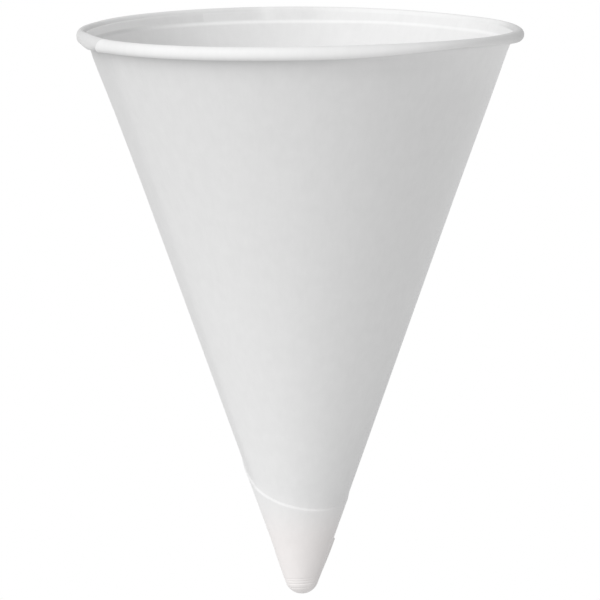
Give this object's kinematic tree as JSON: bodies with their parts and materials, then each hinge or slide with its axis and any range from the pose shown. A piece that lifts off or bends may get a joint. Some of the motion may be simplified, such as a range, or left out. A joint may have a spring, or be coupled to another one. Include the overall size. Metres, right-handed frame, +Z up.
{
  "type": "cone paper cup",
  "caption": "Cone-shaped paper drinking cup wound from one sheet of plain white paper, with a rolled rim and a rounded, closed tip.",
  "frame": {"origin": "Middle of the mouth, in the plane that the rolled rim rests on.", "axes": "+Z runs up the cup's axis from the mouth to the tip. -Y is the front that the picture shows. +X is the picture's left, because the cup is stored mouth down."},
  "size_m": [0.073, 0.073, 0.0936],
  "materials": {
    "white_paper": "matt, lightly waxed"
  },
  "bodies": {
    "root": {"cone_cup": "white_paper"}
  },
  "joints": []
}
